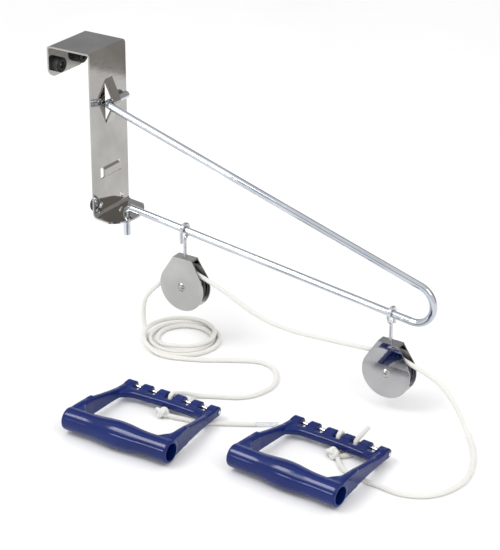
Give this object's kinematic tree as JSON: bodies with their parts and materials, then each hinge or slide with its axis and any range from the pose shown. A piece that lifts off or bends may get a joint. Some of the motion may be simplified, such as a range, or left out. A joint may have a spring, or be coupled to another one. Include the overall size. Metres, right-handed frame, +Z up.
{
  "type": "over-door traction pulley",
  "caption": "Over-door traction pulley: a steel bracket hooks over a door and carries a bent rod arm, hanging pulley blocks and a rope with a plastic hand grip at each end.",
  "frame": {"origin": "underside of the bracket's top plate, where it sits on the door's top edge, against the plate's back face and midway across the strip", "axes": "+X out from the door along the arm, +Y across the strip, to the side that the pin's free end points to, +Z up"},
  "size_m": [0.4309, 0.2272, 0.2601],
  "materials": {
    "polished_steel": "mirror-polished stainless strip",
    "chrome_rod": "bright chrome plate",
    "bright_steel": "bright nickel plate",
    "zinc_wire": "bright zinc plate",
    "plated_sheet": "bright nickel-plated sheet",
    "grey_wheel": "turned grey metal",
    "blue_plastic": "glossy royal-blue moulding",
    "black_rubber": "matt black rubber",
    "white_rope": "white braided cord",
    "clear_sleeve": "clear shrink sleeve"
  },
  "bodies": {
    "frame": {"bracket_strip": "polished_steel", "tongue_bumpers": "black_rubber", "foot_bumpers": "black_rubber", "tongue_rivets": "bright_steel", "foot_rivets": "bright_steel", "arm_rod": "chrome_rod", "rope_inner_run": "white_rope", "rope_coil": "white_rope", "rope_inner_rise": "white_rope", "rope_middle": "white_rope", "rope_outer_drop": "white_rope"},
    "inner_hook": {"inner_hook": "zinc_wire"},
    "inner_block": {"inner_housing": "plated_sheet", "inner_axle": "bright_steel", "inner_washers": "bright_steel", "rope_inner_wrap": "white_rope"},
    "inner_wheel": {"inner_sheave": "grey_wheel"},
    "outer_hook": {"outer_hook": "zinc_wire"},
    "outer_block": {"outer_housing": "plated_sheet", "outer_axle": "bright_steel", "outer_washers": "bright_steel", "rope_outer_wrap": "white_rope"},
    "outer_wheel": {"outer_sheave": "grey_wheel"},
    "inner_rope_end": {"inner_knot": "white_rope", "rope_inner_tail": "white_rope", "rope_tip_sleeve": "clear_sleeve"},
    "inner_grip": {"inner_handle": "blue_plastic", "inner_bar_rod": "zinc_wire"},
    "outer_rope_end": {"outer_knot": "white_rope", "rope_outer_tail": "white_rope"},
    "outer_grip": {"outer_handle": "blue_plastic", "outer_bar_rod": "zinc_wire"}
  },
  "joints": [
    {"name": "inner_hook_swing", "type": "hinge", "parent": "frame", "child": "inner_hook", "pos_m": [0.0785, 0, -0.1474], "axis": [0.9925, 0, -0.1219], "range_deg": [-40, 40], "deforming": ["rope_inner_rise", "rope_middle"]},
    {"name": "inner_block_swivel", "type": "hinge", "parent": "inner_hook", "child": "inner_block", "pos_m": [0.0785, 0, -0.1729], "axis": [0, 0, 1], "range_deg": [-45, 45], "deforming": ["rope_inner_rise", "rope_middle"]},
    {"name": "inner_wheel_spin", "type": "hinge", "parent": "inner_block", "child": "inner_wheel", "pos_m": [0.0785, 0, -0.1995], "axis": [0, 1, 0], "continuous": true},
    {"name": "outer_hook_swing", "type": "hinge", "parent": "frame", "child": "outer_hook", "pos_m": [0.2795, 0, -0.17208], "axis": [0.9925, 0, -0.1219], "range_deg": [-40, 40], "deforming": ["rope_middle", "rope_outer_drop"]},
    {"name": "outer_block_swivel", "type": "hinge", "parent": "outer_hook", "child": "outer_block", "pos_m": [0.2795, 0, -0.19758], "axis": [0, 0, 1], "range_deg": [-45, 45], "deforming": ["rope_middle", "rope_outer_drop"]},
    {"name": "outer_wheel_spin", "type": "hinge", "parent": "outer_block", "child": "outer_wheel", "pos_m": [0.2795, 0, -0.22418], "axis": [0, 1, 0], "continuous": true},
    {"name": "inner_grip_lift", "type": "slide", "parent": "frame", "child": "inner_rope_end", "axis": [0, 0, 1], "range_m": [0, 0.08], "deforming": ["rope_inner_run"]},
    {"name": "inner_grip_tilt", "type": "hinge", "parent": "inner_rope_end", "child": "inner_grip", "pos_m": [0.1306, -0.0964, -0.2498], "axis": [-0.9999, -0.0105, 0], "range_deg": [0, 60]},
    {"name": "outer_grip_lift", "type": "slide", "parent": "frame", "child": "outer_rope_end", "axis": [0, 0, 1], "range_m": [0, 0.08], "deforming": ["rope_outer_drop"]},
    {"name": "outer_grip_tilt", "type": "hinge", "parent": "outer_rope_end", "child": "outer_grip", "pos_m": [0.27776, -0.07564, -0.2498], "axis": [-0.9981, 0.061, 0], "range_deg": [0, 60]}
  ],
  "couplings": [
    {"joint": "outer_wheel_spin", "follows": "inner_wheel_spin", "ratio": 1}
  ]
}
